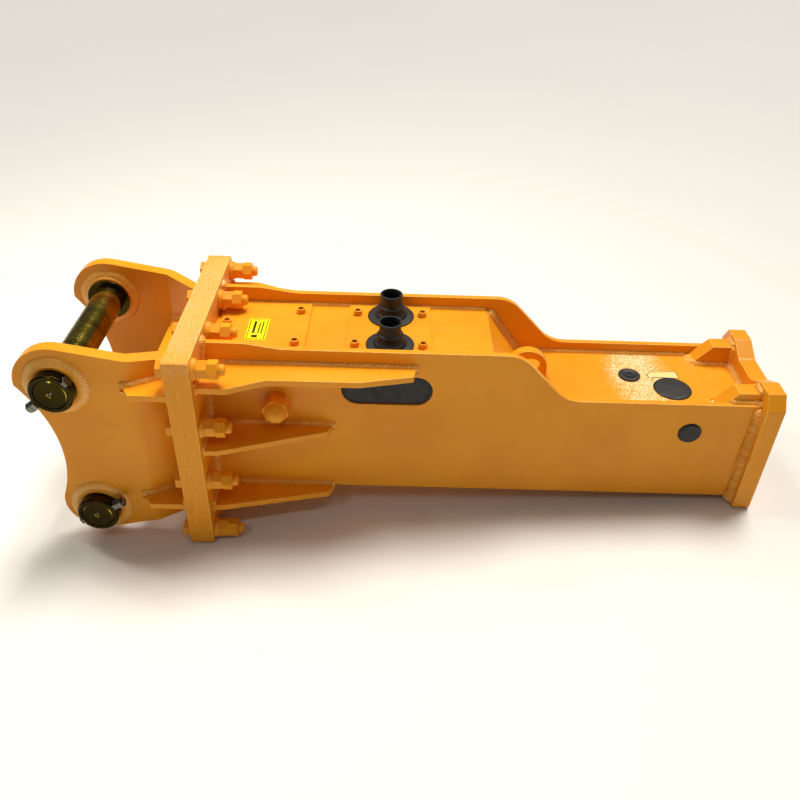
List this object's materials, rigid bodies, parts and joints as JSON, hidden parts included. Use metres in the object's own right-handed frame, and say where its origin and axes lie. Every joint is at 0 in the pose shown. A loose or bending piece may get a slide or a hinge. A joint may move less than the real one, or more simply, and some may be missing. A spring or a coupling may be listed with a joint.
{
  "type": "hydraulic breaker hammer",
  "caption": "Box-housed hydraulic breaker with a pin-on top bracket, bolted flange, hose boots, lifting lug, internal power cell and an open tool bush in the nose.",
  "frame": {"origin": "centre of the tool opening on the outer face of the nose plate", "axes": "+X along the tool axis out of the nose, +Z towards the hose ports, Y across the bracket pins"},
  "size_m": [1.8319, 0.541, 0.567],
  "materials": {
    "orange_paint": "glossy enamel on rolled plate",
    "yellow_zinc": "yellow zinc plate on ground steel",
    "grey_zinc": "clear zinc plate",
    "black_rubber": "matte moulded rubber",
    "machined_steel": "ground",
    "forged_steel": "machined forging",
    "polyurethane": "cast polyurethane",
    "label_film": "gloss vinyl"
  },
  "bodies": {
    "housing": {"bracket_ear_left": "orange_paint", "bracket_ear_right": "orange_paint", "bracket_flange": "orange_paint", "bracket_gussets": "orange_paint", "pin_bosses": "orange_paint", "pin_bushes": "yellow_zinc", "flange_bolts": "orange_paint", "flange_washers": "orange_paint", "flange_nuts": "orange_paint", "flange_lock_nuts": "orange_paint", "housing_flange": "orange_paint", "side_plate_left": "orange_paint", "side_plate_right": "orange_paint", "port_plate": "orange_paint", "ramp_plate": "orange_paint", "front_plate": "orange_paint", "back_plate": "orange_paint", "side_gussets": "orange_paint", "nose_plate": "orange_paint", "nose_blocks": "orange_paint", "lifting_lug": "orange_paint", "charging_cover": "orange_paint", "port_cover": "orange_paint", "cover_bosses": "orange_paint", "socket_screws": "grey_zinc", "rating_plate": "label_film", "hose_boot_left": "black_rubber", "hose_boot_right": "black_rubber", "window_seals": "black_rubber", "front_plugs": "black_rubber", "side_plugs": "black_rubber", "side_tie_rod": "machined_steel", "side_cap_nuts": "orange_paint", "upper_buffer": "polyurethane", "lower_buffer": "polyurethane", "wear_pads": "polyurethane", "back_head": "forged_steel", "cylinder_body": "forged_steel", "front_head": "forged_steel", "through_bolts": "machined_steel", "through_bolt_nuts": "machined_steel", "seal_carriers": "machined_steel", "seal_rings": "black_rubber", "valve_box": "forged_steel", "valve_cap": "forged_steel", "port_adapters": "machined_steel", "charging_valve": "machined_steel", "lower_bush": "machined_steel", "upper_bush": "machined_steel", "tool_pins": "machined_steel"},
    "stick_pin_set": {"stick_pin": "yellow_zinc", "stick_pin_collars": "yellow_zinc", "stick_pin_bolts": "grey_zinc", "stick_pin_nuts": "grey_zinc"},
    "link_pin_set": {"link_pin": "yellow_zinc", "link_pin_collars": "yellow_zinc", "link_pin_bolts": "grey_zinc", "link_pin_nuts": "grey_zinc"},
    "piston_body": {"piston": "machined_steel"},
    "spool_body": {"valve_spool": "machined_steel"}
  },
  "joints": [
    {"name": "stick_pin_turn", "type": "hinge", "parent": "housing", "child": "stick_pin_set", "pos_m": [-1.733, 0, 0.222], "axis": [0, 1, 0], "continuous": true},
    {"name": "link_pin_turn", "type": "hinge", "parent": "housing", "child": "link_pin_set", "pos_m": [-1.698, 0, -0.154], "axis": [0, 1, 0], "continuous": true},
    {"name": "piston_slide", "type": "slide", "parent": "housing", "child": "piston_body", "axis": [-1, 0, 0], "range_m": [0, 0.105]},
    {"name": "spool_slide", "type": "slide", "parent": "housing", "child": "spool_body", "axis": [-1, 0, 0], "range_m": [0, 0.018]}
  ]
}
